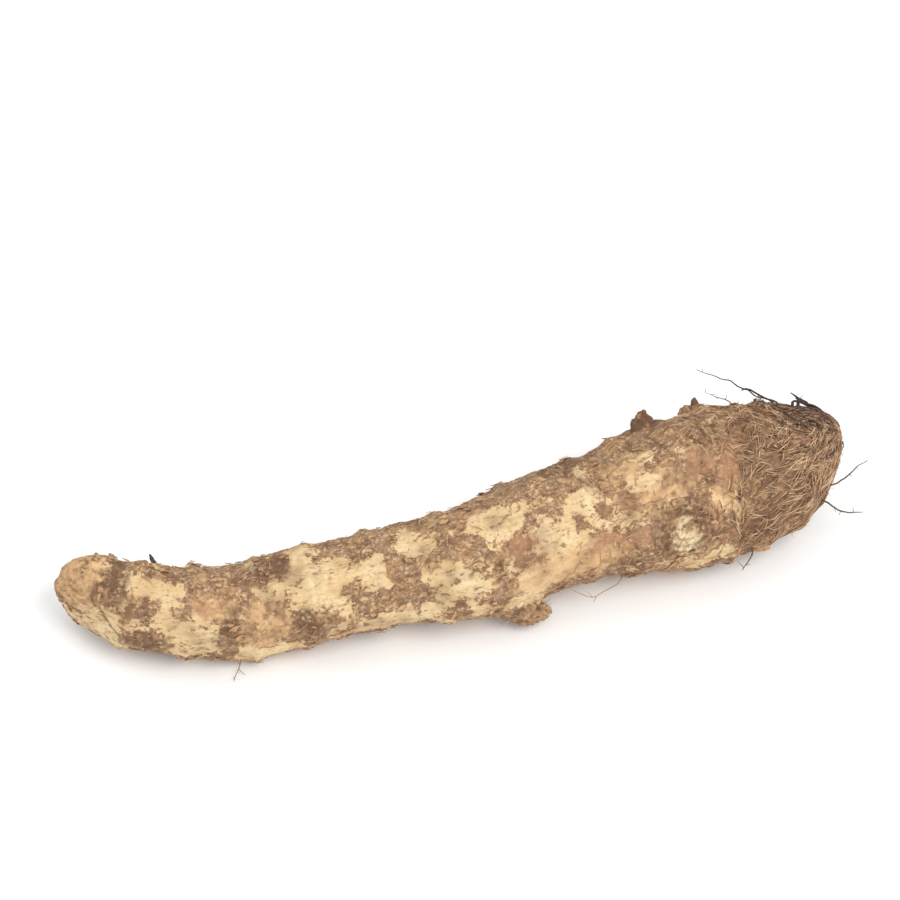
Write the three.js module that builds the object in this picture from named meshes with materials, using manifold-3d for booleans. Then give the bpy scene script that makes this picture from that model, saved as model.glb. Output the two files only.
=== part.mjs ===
// A taro root as lifted from the soil: one long corm lying on its side, its
// crown wrapped in dry leaf-sheath fibres, with buds, a broken side shoot, a
// round scar where a smaller corm broke off, and a few wiry rootlets.
//
// Millimetres, +Z up. +X runs from the old tail end to the crown, Z = 0 is the
// table, and the origin is on the table under the middle of the root's box.

import * as THREE from "three";
import { mergeVertices } from "three/addons/utils/BufferGeometryUtils.js";
import Module from "manifold-3d";

const wasm = await Module();
wasm.setup();

// Driving dimensions

// Where the middle of the root runs, and how thick it is there. y is positive
// away from the viewer, and lift is the gap under the root: negative where its
// weight rests and the skin is pressed flat.
const STATIONS = [
  { x: -151, y: 19.5, radius: 13.8, lift: 4.6 },
  { x: -129, y: 1.5, radius: 14.6, lift: 2.6 },
  { x: -104, y: -7.5, radius: 16.6, lift: 0.2 },
  { x: -78, y: -9.5, radius: 16.6, lift: -0.9 },
  { x: -52, y: -12.5, radius: 17.2, lift: 0.4 },
  { x: -26, y: -12.0, radius: 19.3, lift: 1.6 },
  { x: 0, y: -13.0, radius: 21.6, lift: 1.4 },
  { x: 26, y: -8.5, radius: 22.6, lift: 0.8 },
  { x: 50, y: -7.0, radius: 23.6, lift: 0.4 },
  { x: 74, y: -5.5, radius: 27.0, lift: -0.7 },
  { x: 99, y: -2.0, radius: 27.4, lift: -0.9 },
  { x: 125, y: -2.5, radius: 28.0, lift: 1.0 },
  { x: 149, y: 12.0, radius: 26.0, lift: 4.5 },
];
// Where the middle of the root's box comes out along these stations: it is
// moved onto the origin at the end.
const MIDDLE = { x: 0.3, y: -1.22 };

const TAIL_CAP = { length: 15, power: 0.5 }; // an ellipse has the power 0.5
const CROWN_CAP = { length: 56, power: 0.56 }; // more than 0.5 is more pointed
const CALM = 1.2; // how soon the relief comes up from nothing at a tip

const SIDES = 28; // facets around the root
const ROWS = 104; // facets along it
const CROWDING = 0.42; // how much closer the rows stand at the two ends

// Long waves that keep the root from looking turned on a lathe: around counts
// the waves in a turn, along is their length divided by a full turn.
const WAVES = [
  { height: 0.9, along: 13, around: 0, weave: 1.3, start: 0 },
  { height: 0.7, along: 31, around: 2, weave: 0, start: 0 },
  { height: 0.55, along: -17, around: 3, weave: 0, start: 1 },
  { height: 0.45, along: 9, around: 5, weave: 0, start: 0 },
];

// Old leaf scars: low ridges right round the root, at these places along it.
const RINGS = [-127, -106, -84, -63, -37, -12, 16, 41, 60, 79, 96, 111, 123, 133];
const RING = {
  height: 1.3,
  width: 2.6,
  lean: 2.4, // how far each ring leans forward at the top
  sway: 1.2, // how far it wanders along the root
};

// The scar of a smaller corm, on the side of the thick end.
const SCAR = { x: 75, angle: 66, radius: 8.5, rim: 1.3, rimWidth: 2.4, dish: 1.7, dishWidth: 5.3 };

// Shallow swellings of the root itself, and hollows where the height is below 0.
const SWELLINGS = [
  { x: -66, angle: -8, height: 2.6, spread: 15 },
  { x: -86, angle: 122, height: 1.6, spread: 14 },
  { x: 72, angle: -58, height: 1.8, spread: 13 },
  { x: 12, angle: -120, height: 1.6, spread: 15 },
  { x: -118, angle: 70, height: 1.2, spread: 12 },
  { x: 96, angle: 170, height: 0.8, spread: 15 },
  { x: 8, angle: 122, height: 2.0, spread: 8 },
  { x: 112, angle: -49, height: -2, spread: 8 },
  { x: 131, angle: -42, height: 4.2, spread: 10 },
  { x: 137, angle: 75, height: -7, spread: 15 },
  { x: 131, angle: 104, height: -2.6, spread: 9 },
  { x: -142, angle: 85, height: -3, spread: 11 },
];

// What stands out of the root: each is a tapered lump that leans along it.
// reach is its length from the skin, wide and deep its half sizes at the foot.
const LUMPS = [
  { x: 10, angle: 129, reach: 12.5, wide: 6.4, deep: 4.4, lean: 70 }, // broken shoot
  { x: 76, angle: -44, reach: 6.5, wide: 4.8, deep: 4.2, lean: 12 }, // dark bud
  { x: 93, angle: -45, reach: 3.6, wide: 5.6, deep: 3.2, lean: 20 }, // low bud
  { x: 97, angle: -48, reach: 4.2, wide: 2.2, deep: 1.9, lean: 5 }, // its spike
  { x: 108, angle: 126, reach: 4.6, wide: 5.0, deep: 1.8, lean: 70 }, // husk
  { x: -121, angle: -48, reach: 4.4, wide: 1.4, deep: 1.0, lean: -35 }, // spur
  { x: -30, angle: -128, reach: 4.0, wide: 4.2, deep: 3.4, lean: 30 }, // back bud
  { x: 56, angle: 128, reach: 2.6, wide: 3.6, deep: 2.2, lean: 45 }, // small bud
];
const LUMP = {
  sides: 9,
  rows: 6,
  sink: 4.5, // how deep a lump's foot goes into the root
  foot: 1.25, // its width there, as a share of the stated one
  tip: 0.7, // its width just under the tip
  crook: 0.16, // how uneven its section is
};

// The crown's dry fibres lie along the dome, rooted in the skin at the tail
// side, and their tips stand a little free.
const COAT = {
  strands: 42,
  seed: 7,
  from: 84, // the first fibres start here along the root
  to: 134,
  forward: 0.6, // below 1, more of them start near the crown
  shortest: 15,
  longest: 38,
  turn: 30, // most degrees that a fibre winds round the root
  wave: 5, // most degrees that it sways to either side
  thick: 1.15,
  root: -2.5, // height of its foot, under the skin
  clear: 1.0, // height over the skin
  tipLow: 1.2,
  tipHigh: 2.8,
  endGap: 3, // how far the tips stay from the crown's end
  endSpread: 5,
  corners: 3,
  steps: 5,
};
const GOLDEN_TURN = 360 * 0.618034; // degrees, which never falls in step

// Wiry rootlets: places along and around the root, and heights off its skin.
const ROOTLET = { thick: 1.2, corners: 4, stepsEach: 3 };
const ROOTLETS = [
  [[138, -38, -3], [133, -43, 2.5], [127, -47, 4.8], [119, -50, 7.5], [110, -51, 11], [103, -51, 14.3]],
  [[118, -49, 6.8], [123, -52, 6.8], [128, -54, 5], [133, -50, 3], [137, -44, -2]],
  [[112, -44, -3], [110, -47, 2.5], [106, -50, 4], [102, -50, 6]],
  [[138, -38, -3], [142, -42, 4], [143, -43, 6], [142, -45, 7.5]],
  [[136, -30, -3], [139, -36, 3.5], [143, -36, 4], [146, -24, 2.5], [147, -5, -2]],
  [[129, 108, -3], [134, 106, 2.5], [138, 103, 6], [142, 98, 9]],
  [[127, 110, -3], [130, 113, 3], [132, 119, 8], [134, 119, 13]],
  [[105, 112, -3], [104, 118, 2.5], [99, 124, 6.5]],
  [[56, 116, -3], [51, 123, 3.2], [44, 127, 5.5], [36, 126, 4], [30, 120, -2]],
  [[120, -150, -3], [124, -155, 3], [131, -160, 6.5], [140, -166, 8]],
  [[104, -100, -3], [102, -104, 4], [95, -106, 8], [90, -112, 9.5]],
  [[-89, 136, -3], [-91, 130, 2.5], [-93, 124, 7]],
];
const STRAND_HALF = 0.55; // a strand's corners stand this share of its width out
const TABLE_GAP = 0.75; // and its middle stays this share of it over the table

// The root's own form

const TURN = 2 * Math.PI;
const radians = THREE.MathUtils.degToRad;
const bell = (distance, width) => Math.exp(-((distance / width) ** 2));

const FIRST = STATIONS[0];
const LAST = STATIONS[STATIONS.length - 1];

const spine = new THREE.CatmullRomCurve3(
  STATIONS.map((s) => new THREE.Vector3(s.x, s.y, s.radius + s.lift)),
  false,
  "catmullrom",
);
const girth = new THREE.CatmullRomCurve3(
  STATIONS.map((s) => new THREE.Vector3(s.x, s.radius, 0)),
  false,
  "catmullrom",
);

// The share of the spine's run at which it passes a place along X.
function shareAt(x) {
  const halvings = 30;
  let low = 0;
  let high = 1;
  for (let i = 0; i < halvings; i++) {
    const middle = (low + high) / 2;
    if (spine.getPoint(middle).x < x) low = middle;
    else high = middle;
  }
  return (low + high) / 2;
}

// The rounding of one end, from 0 at its tip to 1 along the body.
function rounding(distance, cap) {
  const share = Math.min(1, distance / cap.length);
  return Math.max(0, 1 - (1 - share) ** 2) ** cap.power;
}

function capShare(x) {
  return rounding(x - FIRST.x, TAIL_CAP) * rounding(LAST.x - x, CROWN_CAP);
}

function unevenness(x, angle) {
  let height = 0;
  for (const wave of WAVES) {
    const sway = wave.weave * Math.sin(angle);
    height += wave.height * Math.sin(wave.around * angle + x / wave.along + sway + wave.start);
  }
  return height;
}

// How far one place on the root is from another, along the skin.
function apart(x, angle, radius, place) {
  let turn = angle - radians(place.angle);
  turn = Math.atan2(Math.sin(turn), Math.cos(turn));
  return Math.hypot(x - place.x, turn * radius);
}

// The height of all low forms at a place: waves, rings, swellings and scar.
function relief(x, angle, radius) {
  let height = unevenness(x, angle);
  for (const ring of RINGS) {
    const wander = RING.lean * Math.cos(angle) + RING.sway * Math.sin(2 * angle + ring);
    height += RING.height * bell(x - ring - wander, RING.width);
  }
  for (const swelling of SWELLINGS) {
    height += swelling.height * bell(apart(x, angle, radius, swelling), swelling.spread);
  }
  const fromScar = apart(x, angle, radius, SCAR);
  height += SCAR.rim * bell(fromScar - SCAR.radius, SCAR.rimWidth);
  height -= SCAR.dish * bell(fromScar, SCAR.dishWidth);
  return height;
}

// The spine's place and directions: forward to the crown, side to the viewer.
function sectionAt(share) {
  const centre = spine.getPoint(share);
  const forward = spine.getTangent(share);
  const side = new THREE.Vector3().crossVectors(forward, new THREE.Vector3(0, 0, 1)).normalize();
  const up = new THREE.Vector3().crossVectors(side, forward).normalize();
  return { centre, forward, side, up, radius: girth.getPoint(share).y };
}

// A point of the skin, or of a place at some height over it. The angle is 0 on
// top and 90 degrees towards the viewer. Nothing goes under the table.
function skin(share, angle, over = 0) {
  const { centre, side, up, radius } = sectionAt(share);
  const cap = capShare(centre.x);
  const raised = relief(centre.x, angle, radius) * Math.min(1, cap * CALM);
  const reach = (radius + raised) * cap + over;
  const point = centre
    .addScaledVector(up, reach * Math.cos(angle))
    .addScaledVector(side, reach * Math.sin(angle));
  point.z = Math.max(point.z, 0);
  return point;
}

// Solids

// A closed solid from one of the geometry classes' shapes.
function solidOf(geometry) {
  const nearest = 1e-4; // vertices this close are one
  geometry.deleteAttribute("normal");
  geometry.deleteAttribute("uv");
  const merged = mergeVertices(geometry, nearest);
  return new wasm.Manifold(
    new wasm.Mesh({
      numProp: 3,
      vertProperties: merged.getAttribute("position").array,
      triVerts: merged.index.array,
    }),
  );
}

// The corm: a globe whose rows are drawn out along the spine.
function cormSolid() {
  const globe = new THREE.SphereGeometry(1, SIDES, ROWS);
  const place = globe.getAttribute("position");
  for (let i = 0; i < place.count; i++) {
    const row = Math.acos(THREE.MathUtils.clamp(place.getY(i), -1, 1)) / Math.PI;
    const share = row - (CROWDING / TURN) * Math.sin(TURN * row);
    const angle = Math.atan2(place.getX(i), place.getZ(i));
    const point = skin(1 - share, angle);
    place.setXYZ(i, point.x, point.y, point.z);
  }
  return solidOf(globe);
}

// A tapered lump, rooted in the skin: its tip is blunt and a little crooked.
function lumpSolid(lump, index) {
  const share = shareAt(lump.x);
  const angle = radians(lump.angle);
  const { forward } = sectionAt(share);
  const foot = skin(share, angle);
  const out = skin(share, angle, LUMP.sink).sub(foot).normalize();
  const lean = radians(lump.lean);
  const rise = out.clone().multiplyScalar(Math.cos(lean)).addScaledVector(forward, Math.sin(lean));
  const across = new THREE.Vector3().crossVectors(rise, forward).normalize();
  const along = new THREE.Vector3().crossVectors(across, rise).normalize();

  const body = new THREE.SphereGeometry(1, LUMP.sides, LUMP.rows);
  const place = body.getAttribute("position");
  for (let i = 0; i < place.count; i++) {
    const height = (place.getY(i) + 1) / 2; // 0 at the foot, 1 at the tip
    const taper = THREE.MathUtils.lerp(LUMP.foot, LUMP.tip, height);
    const turn = Math.atan2(place.getZ(i), place.getX(i));
    const width = taper * (1 + LUMP.crook * Math.sin(3 * turn + index));
    const rising = height * (lump.reach + LUMP.sink) - LUMP.sink;
    const point = foot
      .clone()
      .addScaledVector(across, place.getX(i) * lump.wide * width)
      .addScaledVector(along, place.getZ(i) * lump.deep * width)
      .addScaledVector(rise, rising);
    place.setXYZ(i, point.x, point.y, Math.max(point.z, 0));
  }
  return solidOf(body);
}

// A thin strand through places given as [x, angle in degrees, height].
function strandSolid(places, thick, corners, steps) {
  const points = places.map(([x, angle, over]) => {
    const point = skin(shareAt(x), radians(angle), over);
    point.z = Math.max(point.z, thick * TABLE_GAP);
    return point;
  });
  const section = new THREE.Shape(
    Array.from({ length: corners }, (_, i) => {
      const turn = (TURN * i) / corners;
      return new THREE.Vector2(Math.cos(turn), Math.sin(turn)).multiplyScalar(thick * STRAND_HALF);
    }),
  );
  return solidOf(
    new THREE.ExtrudeGeometry(section, {
      steps,
      bevelEnabled: false,
      extrudePath: new THREE.CatmullRomCurve3(points),
    }),
  );
}

// A small seeded draw from 0 to 1, so that the fibres fall the same way each time.
function seeded(seed) {
  const multiplier = 1664525;
  const increment = 1013904223;
  const range = 2 ** 32;
  let state = seed;
  return () => {
    state = (state * multiplier + increment) % range;
    return state / range;
  };
}

// The places that each fibre of the crown runs through.
function coatPlaces() {
  const draw = seeded(COAT.seed);
  const between = (low, high) => low + (high - low) * draw();
  return Array.from({ length: COAT.strands }, (_, i) => {
    const angle = (GOLDEN_TURN * i) % 360;
    const start = COAT.from + (COAT.to - COAT.from) * draw() ** COAT.forward;
    const long = between(COAT.shortest, COAT.longest);
    const end = Math.min(start + long, LAST.x - COAT.endGap - COAT.endSpread * draw());
    const turn = between(-COAT.turn, COAT.turn);
    const wave = between(-COAT.wave, COAT.wave);
    const tip = between(COAT.tipLow, COAT.tipHigh);
    const at = (part, over, sway) => [start + (end - start) * part, angle + turn * part + sway, over];
    return [
      at(0, COAT.root, 0),
      at(0.1, COAT.clear, 0),
      at(0.4, COAT.clear, wave),
      at(0.7, COAT.clear, -wave),
      at(1, tip, 0),
    ];
  });
}

function rootSolid() {
  return wasm.Manifold.union([
    cormSolid(),
    ...LUMPS.map(lumpSolid),
    ...coatPlaces().map((places) => strandSolid(places, COAT.thick, COAT.corners, COAT.steps)),
    ...ROOTLETS.map((places) =>
      strandSolid(places, ROOTLET.thick, ROOTLET.corners, ROOTLET.stepsEach * (places.length - 1)),
    ),
  ]);
}

function geometryOf(solid) {
  const { vertProperties, triVerts } = solid.getMesh();
  const geometry = new THREE.BufferGeometry();
  geometry.setAttribute("position", new THREE.BufferAttribute(vertProperties, 3));
  geometry.setIndex(new THREE.BufferAttribute(triVerts, 1));
  geometry.computeVertexNormals();
  return geometry;
}

// The part

const corkyBark = new THREE.MeshStandardMaterial({
  color: "#a07c50",
  roughness: 0.88,
  metalness: 0,
});

const root = new THREE.Mesh(geometryOf(rootSolid()), corkyBark);
root.name = "taro_root";
root.position.set(-MIDDLE.x, -MIDDLE.y, 0);

const part = new THREE.Group();
part.add(root);

export default part;
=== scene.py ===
"""A taro root lying on a pale studio floor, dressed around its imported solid.

The root's form comes from the same driving sizes as the solid's, in millimetres
along the root, and each finished mesh is in metres in the solid's frame: +Z up,
+X from the old tail end to the crown, the floor at Z = 0.
"""

import math
import random
from collections import namedtuple

import bmesh
import bpy
import numpy as np
from bpy.props import FloatProperty, FloatVectorProperty, IntProperty, PointerProperty
from mathutils import Matrix, Vector, noise


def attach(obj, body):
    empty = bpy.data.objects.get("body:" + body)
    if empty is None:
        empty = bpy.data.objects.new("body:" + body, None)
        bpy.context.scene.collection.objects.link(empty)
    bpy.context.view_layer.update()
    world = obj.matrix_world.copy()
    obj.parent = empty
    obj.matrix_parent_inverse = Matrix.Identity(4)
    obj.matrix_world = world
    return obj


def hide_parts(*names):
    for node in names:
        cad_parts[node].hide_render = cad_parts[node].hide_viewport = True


bl_info = {
    "name": "Taro root",
    "version": (1, 0, 0),
    "blender": (4, 5, 0),
    "location": "View3D > Sidebar > Taro",
    "description": "Builds a taro root with peeled bark, buds, scars, crown fibres and rootlets",
    "category": "Add Mesh",
}

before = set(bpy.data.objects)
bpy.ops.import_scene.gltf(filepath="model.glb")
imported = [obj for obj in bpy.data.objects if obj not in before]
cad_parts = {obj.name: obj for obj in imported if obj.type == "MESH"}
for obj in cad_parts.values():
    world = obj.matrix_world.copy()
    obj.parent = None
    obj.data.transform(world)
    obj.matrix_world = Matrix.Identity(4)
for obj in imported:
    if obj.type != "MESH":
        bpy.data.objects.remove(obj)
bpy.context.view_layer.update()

MM = 0.001
TURN = 2 * math.pi
SEEDS = {"pits": 3, "fibres": 11, "rootlets": 5, "scales": 17}

# Driving sizes of the root, in millimetres and degrees

# Where the middle of the root runs, and how thick it is there. Lift is the gap
# under it: negative where its weight presses the skin flat.
Station = namedtuple("Station", "x y radius lift")
STATIONS = [
    Station(-151, 19.5, 13.8, 4.6),
    Station(-129, 1.5, 14.6, 2.6),
    Station(-104, -7.5, 16.6, 0.2),
    Station(-78, -9.5, 16.6, -0.9),
    Station(-52, -12.5, 17.2, 0.4),
    Station(-26, -12.0, 19.3, 1.6),
    Station(0, -13.0, 21.6, 1.4),
    Station(26, -8.5, 22.6, 0.8),
    Station(50, -7.0, 23.6, 0.4),
    Station(74, -5.5, 27.0, -0.7),
    Station(99, -2.0, 27.4, -0.9),
    Station(125, -2.5, 28.0, 1.0),
    Station(149, 12.0, 26.0, 4.5),
]
MIDDLE = np.array([0.3, -1.22, 0.0])  # of the root's box, moved onto the origin

TAIL_CAP = (15, 0.5)  # length and power of the rounded tail end
CROWN_CAP = (56, 0.56)
CALM = 1.2  # how soon the relief comes up from nothing at a tip
TREND = 0.045  # how far each way the spine's direction is taken, as a share of it

# Waves in the skin: their height, the length along the root that turns them by a radian,
# how many go round it, how far they weave there, and where they start.
Wave = namedtuple("Wave", "height along around weave start")
WAVES = [
    Wave(0.9, 13, 0, 1.3, 0),
    Wave(0.7, 31, 2, 0, 0),
    Wave(0.55, -17, 3, 0, 1),
    Wave(0.45, 9, 5, 0, 0),
]

# Low rings of old leaf scars, at these places along the root.
RINGS = [-127, -106, -84, -63, -37, -12, 16, 41, 60, 79, 96, 111, 123, 133]
RING_HEIGHT = 1.3
RING_WIDTH = 2.6
RING_LEAN = 2.4  # how far forward each leans on top, and back below
RING_SWAY = 1.2

# A place on the root with a half length along it and a half width around it.
Patch = namedtuple("Patch", "x angle long wide")

SCAR = Patch(75, 66, 8.5, 8.5)
SCAR_RIM = (1.3, 2.4)  # height and width
SCAR_DISH = (1.7, 5.3)
PALE = Patch(74, 72, 4.6, 7)  # its granular middle

# Broad bumps, or hollows where the height is under 0.
Swelling = namedtuple("Swelling", "x angle height spread")
SWELLINGS = [
    Swelling(-66, -8, 2.6, 15),
    Swelling(-86, 122, 1.6, 14),
    Swelling(72, -58, 1.8, 13),
    Swelling(12, -120, 1.6, 15),
    Swelling(-118, 70, 1.2, 12),
    Swelling(96, 170, 0.8, 15),
    Swelling(8, 122, 2.0, 8),
    Swelling(112, -49, -2, 8),
    Swelling(131, -42, 4.2, 10),
    Swelling(137, 75, -7, 15),
    Swelling(131, 104, -2.6, 9),
    Swelling(-142, 85, -3, 11),
]

# What stands out of the root: reach is the length from the skin, wide and deep are half
# sizes near the foot, lean is in degrees towards the crown, ragged is how torn the
# surface is, and warm and soiled are how strong those tints are.
Lump = namedtuple("Lump", "name x angle reach wide deep lean ragged warm soiled")
LUMPS = [
    Lump("broken_shoot", 10, 129, 12.5, 6.4, 4.4, 70, 1.0, 0.3, 0.3),
    Lump("dark_bud", 76, -44, 6.5, 4.8, 4.2, 12, 0.7, 0, 2.5),
    Lump("low_bud", 93, -45, 3.6, 5.6, 3.2, 20, 0.6, 0, 0.3),
    Lump("bud_spike", 97, -48, 4.2, 2.2, 1.9, 5, 0.5, 0, 2.5),
    Lump("husk", 108, 126, 4.6, 5.0, 1.8, 70, 0.4, 0.8, 0.3),
    Lump("spur", -121, -48, 4.4, 1.4, 1.0, -35, 0.2, 0, 2.5),
    Lump("back_bud", -30, -128, 4.0, 4.2, 3.4, 30, 0.7, 0, 0.3),
    Lump("small_bud", 56, 128, 2.6, 3.6, 2.2, 45, 0.5, 0, 0.3),
]
LUMP_SINK = 4.5  # how deep each is rooted
LUMP_FOOT = 1.25  # its width at the foot and at the tip, against wide and deep
LUMP_TIP = 0.7
LUMP_CROOK = 0.16  # how far its three sides swell

# Wiry rootlets: thick is against the thickness that the panel gives, tone goes from 0,
# dark, to 1, pale, and each place is x, degrees round the root and height off its skin.
Rootlet = namedtuple("Rootlet", "thick tone places")
ROOTLETS = [
    Rootlet(1.0, 0, [
        (138, -38, -3), (133, -43, 2.5), (127, -47, 4.8),
        (119, -50, 7.5), (110, -51, 11), (101, -51, 15),
    ]),
    Rootlet(0.6, 0, [
        (118, -49, 6.8), (123, -52, 6.8), (128, -54, 5), (133, -50, 3), (137, -44, -2),
    ]),
    Rootlet(0.5, 0.1, [(112, -44, -3), (110, -47, 2.5), (106, -50, 4), (102, -50, 6)]),
    Rootlet(1.2, 0, [(138, -38, -3), (142, -42, 4), (143, -43, 6), (142, -45, 8.5)]),
    Rootlet(1.1, 0, [
        (136, -30, -3), (139, -36, 3.5), (143, -36, 4), (146, -24, 2.5), (147, -5, -2),
    ]),
    Rootlet(1.5, 0, [
        (147, -22, -1), (145, -34, 2), (143, -40, 4.8),
        (143, -44, 6), (145, -43, 4.4), (144, -39, 2.4),
    ]),
    Rootlet(0.7, 0.05, [
        (129, 108, -3), (134, 106, 2.5), (138, 103, 6), (142, 98, 9), (145, 95, 13),
    ]),
    Rootlet(0.8, 0, [
        (127, 110, -3), (130, 113, 3), (132, 119, 8), (134, 119, 13), (137, 119, 18),
    ]),
    Rootlet(0.6, 0.1, [(105, 112, -3), (104, 118, 2.5), (99, 124, 6.5)]),
    Rootlet(0.3, 0.45, [
        (56, 116, -3), (51, 123, 3.2), (44, 127, 5.5), (36, 126, 4), (30, 120, -2),
    ]),
    Rootlet(0.8, 0, [(120, -150, -3), (124, -155, 3), (131, -160, 6.5), (140, -166, 8)]),
    Rootlet(0.8, 0.1, [(104, -100, -3), (102, -104, 4), (95, -106, 8), (90, -112, 9.5)]),
    Rootlet(0.35, 0.3, [(-89, 136, -3), (-91, 130, 2.5), (-93, 124, 7)]),
]

# Where the bark has peeled off the cream flesh.
BARE = [Patch(*row) for row in (
    (-132, 82, 10, 9), (-137, 106, 10, 7), (-110, 64, 15, 7), (-112, 12, 5, 5), (-98, 58, 4, 6),
    (-100, 92, 12, 6), (-86, 112, 8, 4), (-80, 25, 9, 3), (-74, 112, 16, 5), (-56, 20, 14, 11),
    (-63, -22, 9, 8), (-34, 102, 22, 5), (-6, 76, 11, 8), (10, 95, 13, 8), (8, 10, 12, 8),
    (28, 53, 13, 12), (44, 19, 8, 5), (50, 40, 17, 4), (46, -10, 3, 3), (68, -6, 5, 3),
    (62, 16, 6, 4), (91, 48, 5, 5), (100, 64, 5, 4), (112, 23, 2, 3), (78, 103, 16, 4),
    (-37, 26, 7, 10), (-20, 8, 9, 8), (-14, 46, 7, 4), (-26, 86, 12, 4), (14, 74, 9, 7),
)]
# Where it still holds, in or between the peeled places.
HELD = [Patch(*row) for row in (
    (14, 37, 4, 3.5), (13, 54, 3.5, 2), (2, -22, 7, 5), (16, 0, 3.5, 2.5), (6, 33, 2.5, 2.5),
    (32, -2, 5, 12), (38, -32, 8, 9), (51, 60, 13, 5), (37, 38, 4, 2.5), (54, 88, 13, 6),
    (36, 110, 18, 7), (4, 120, 13, 7), (58, 29, 7, 3), (-64, 67, 6, 6), (-103, 126, 7, 4.5),
    (-119, 89, 7, 4), (-93, 62, 3, 14), (-90, 0, 8, 8), (-132, 0, 5, 9), (-76, -12, 8, 7),
    (-42, 60, 8, 6), (-26, 66, 9, 4), (-28, 30, 4, 6), (-9, 24, 5, 8), (-13, 96, 5, 4),
    (4, 84, 5, 3),
)]
# Thin orange-tan skin.
WARM = [Patch(*row) for row in (
    (-80, 63, 10, 8), (-98, 38, 7, 5), (-143, 25, 8, 14), (72, 27, 7, 5), (60, 2, 7, 5),
    (30, 78, 22, 8), (108, 124, 6, 5), (93, 52, 8, 6),
)]
# Smooth reddish-brown scales.
RED = [Patch(*row) for row in (
    (14, 37, 4.5, 4), (13, 54, 4, 2.5), (2, -22, 6, 4), (45, 57, 6, 4), (58, 62, 7, 3),
    (60, 30, 5, 3.5), (86, 18, 6, 5), (97, 31, 7, 5), (97, 78, 4.5, 4), (84, 60, 3, 5),
    (114, -4, 4.5, 2.5), (126, 62, 4, 3), (134, 88, 5, 3), (128, 5, 5, 2.5), (-100, 36, 4, 3),
)]
# Dark, earthy bark, and one patch of painted shade.
DARK = [Patch(*row) for row in (
    (-132, 0, 5, 9), (-93, 66, 2.5, 9), (-119, 89, 6, 4), (-64, 67, 4, 4), (-76, -12, 8, 6),
    # The patch at (76, -46) is painted shade in the crevice beneath the dark bud.
    (38, -32, 7, 8), (76, -46, 8, 6), (138, -30, 9, 16),
)]


def linear(code):
    """An sRGB hex colour as linear red, green and blue."""
    channels = [int(code[i : i + 2], 16) / 255 for i in (1, 3, 5)]
    return tuple(c / 12.92 if c <= 0.04045 else ((c + 0.055) / 1.055) ** 2.4 for c in channels)


# The root's own form

LINE = np.array([(s.x, s.y, s.radius + s.lift, s.radius) for s in STATIONS], float)


def smooth_line(points, share):
    """Places at shares of the smooth curve through points."""
    points = np.asarray(points, float)
    ended = np.vstack([2 * points[0] - points[1], points, 2 * points[-1] - points[-2]])
    run = np.clip(share, 0, 1) * (len(points) - 1)
    first = np.minimum(run.astype(int), len(points) - 2)
    part = (run - first)[:, None]
    before, start, end, after = (ended[first + i] for i in range(4))
    leaving = (end - before) / 2
    arriving = (after - start) / 2
    bend = 3 * (end - start) - 2 * leaving - arriving
    settle = 2 * (start - end) + leaving + arriving
    return start + part * (leaving + part * (bend + part * settle))


def unit(vectors):
    """The vectors brought to length 1."""
    return vectors / np.linalg.norm(vectors, axis=-1, keepdims=True)


def bell(distance, width):
    """1 at no distance, and falling off over a width."""
    return np.exp(-((distance / width) ** 2))


def steps(value, low, high):
    """0 up to low, 1 from high on, and smooth between. High may be the smaller."""
    share = np.clip((value - low) / (high - low), 0, 1)
    return share * share * (3 - 2 * share)


def rounding(distance, cap):
    """The share of the full radius at a distance from a rounded end."""
    length, power = cap
    share = np.clip(distance / length, 0, 1)
    return np.maximum(0, 1 - (1 - share) ** 2) ** power


def cap_share(x):
    """The share of the full radius that both rounded ends leave."""
    return rounding(x - STATIONS[0].x, TAIL_CAP) * rounding(STATIONS[-1].x - x, CROWN_CAP)


def around(angle, degrees):
    """The turn from a place's degrees to angles in radians, the short way round."""
    turn = angle - math.radians(degrees)
    return np.arctan2(np.sin(turn), np.cos(turn))


def apart(x, angle, radius, place):
    """How far over the skin a place is, in millimetres."""
    return np.hypot(x - place.x, around(angle, place.angle) * radius)


def relief(x, angle, radius):
    """The height of the low forms that the solid has: waves, rings, swellings and scar."""
    height = np.zeros_like(x)
    for wave in WAVES:
        sway = wave.weave * np.sin(angle)
        height += wave.height * np.sin(wave.around * angle + x / wave.along + sway + wave.start)
    for ring in RINGS:
        wander = RING_LEAN * np.cos(angle) + RING_SWAY * np.sin(2 * angle + ring)
        height += RING_HEIGHT * bell(x - ring - wander, RING_WIDTH)
    for swelling in SWELLINGS:
        height += swelling.height * bell(apart(x, angle, radius, swelling), swelling.spread)
    from_scar = apart(x, angle, radius, SCAR)
    height += SCAR_RIM[0] * bell(from_scar - SCAR.long, SCAR_RIM[1])
    height -= SCAR_DISH[0] * bell(from_scar, SCAR_DISH[1])
    return height


def section(share):
    """Centre, forward, side and up directions, and radius at shares of the spine. Forward
    is the spine's trend over TREND of it each way, so that no bend crowds the skin."""
    place = smooth_line(LINE, share)
    forward = unit((smooth_line(LINE, share + TREND) - smooth_line(LINE, share - TREND))[:, :3])
    side = unit(np.cross(forward, (0, 0, 1)))
    up = np.cross(side, forward)
    return place[:, :3], forward, side, up, place[:, 3]


def skin(share, angle, over=0.0):
    """Places on the skin, or at some height over it. Angle 0 is on top, a quarter turn
    is the near side, and nothing goes under the floor."""
    centre, _, side, up, radius = section(share)
    x = centre[:, 0]
    cap = cap_share(x)
    reach = (radius + relief(x, angle, radius) * np.minimum(1, cap * CALM)) * cap + over
    place = centre + up * (reach * np.cos(angle))[:, None] + side * (reach * np.sin(angle))[:, None]
    place[:, 2] = np.maximum(place[:, 2], 0)
    return place


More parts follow.
